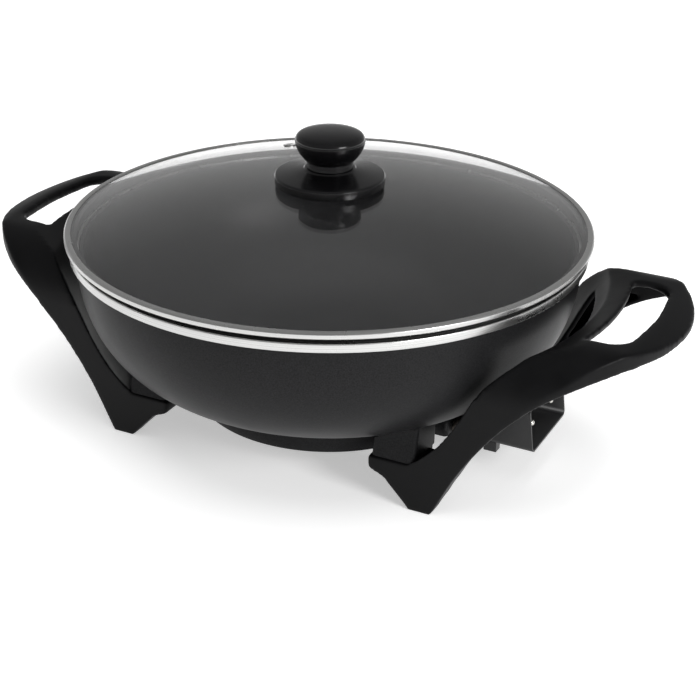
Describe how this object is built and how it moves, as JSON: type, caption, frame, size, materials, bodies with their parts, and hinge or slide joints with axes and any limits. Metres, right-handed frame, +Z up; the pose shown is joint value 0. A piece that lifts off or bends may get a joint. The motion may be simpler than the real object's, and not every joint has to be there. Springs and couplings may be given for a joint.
{
  "type": "electric wok",
  "caption": "Electric wok: round cast bowl on looped handles that run down into feet, loose domed glass lid with a knob, and a guarded socket for a removable thermostat.",
  "frame": {"origin": "on the floor plane midway between the two handles, under the centre of the bowl", "axes": "+X along the handles towards the thermostat socket, +Z up"},
  "size_m": [0.508, 0.36, 0.2162],
  "materials": {
    "coated_cast_aluminium": "satin, fine sprayed non-stick coating",
    "satin_steel": "turned satin",
    "handle_phenolic": "matte moulded",
    "knob_phenolic": "gloss moulded",
    "lid_glass": "clear tempered",
    "silicone": "matte",
    "zinc_steel": "zinc plated",
    "pin_steel": "polished",
    "element_sheath": "oxidised",
    "ceramic": "glazed ceramic",
    "bare_aluminium": "machined",
    "black_sheet_steel": "satin black coat"
  },
  "bodies": {
    "base": {"wok_bowl": "coated_cast_aluminium", "bowl_rim_ring": "satin_steel", "handle_right": "handle_phenolic", "handle_left": "handle_phenolic", "mount_block_right_front": "coated_cast_aluminium", "mount_block_right_rear": "coated_cast_aluminium", "mount_block_left_front": "coated_cast_aluminium", "mount_block_left_rear": "coated_cast_aluminium", "leg_screws": "zinc_steel", "heater_ring": "coated_cast_aluminium", "heating_element": "element_sheath", "terminal_pin_front": "pin_steel", "terminal_pin_rear": "pin_steel", "pin_insulator_front": "ceramic", "pin_insulator_rear": "ceramic", "probe_tube": "bare_aluminium", "socket_guard": "black_sheet_steel", "guard_bracket": "black_sheet_steel"},
    "lid": {"lid_glass": "lid_glass", "lid_rim_band": "satin_steel", "steam_vent_eyelet": "satin_steel", "lid_knob": "knob_phenolic", "lid_knob_skirt": "knob_phenolic", "lid_knob_gasket": "silicone", "lid_knob_washer": "satin_steel", "lid_knob_screw": "zinc_steel"}
  },
  "joints": [
    {"name": "lid_lift", "type": "slide", "parent": "base", "child": "lid", "axis": [0, 0, 1], "range_m": [0, 0.12]}
  ]
}
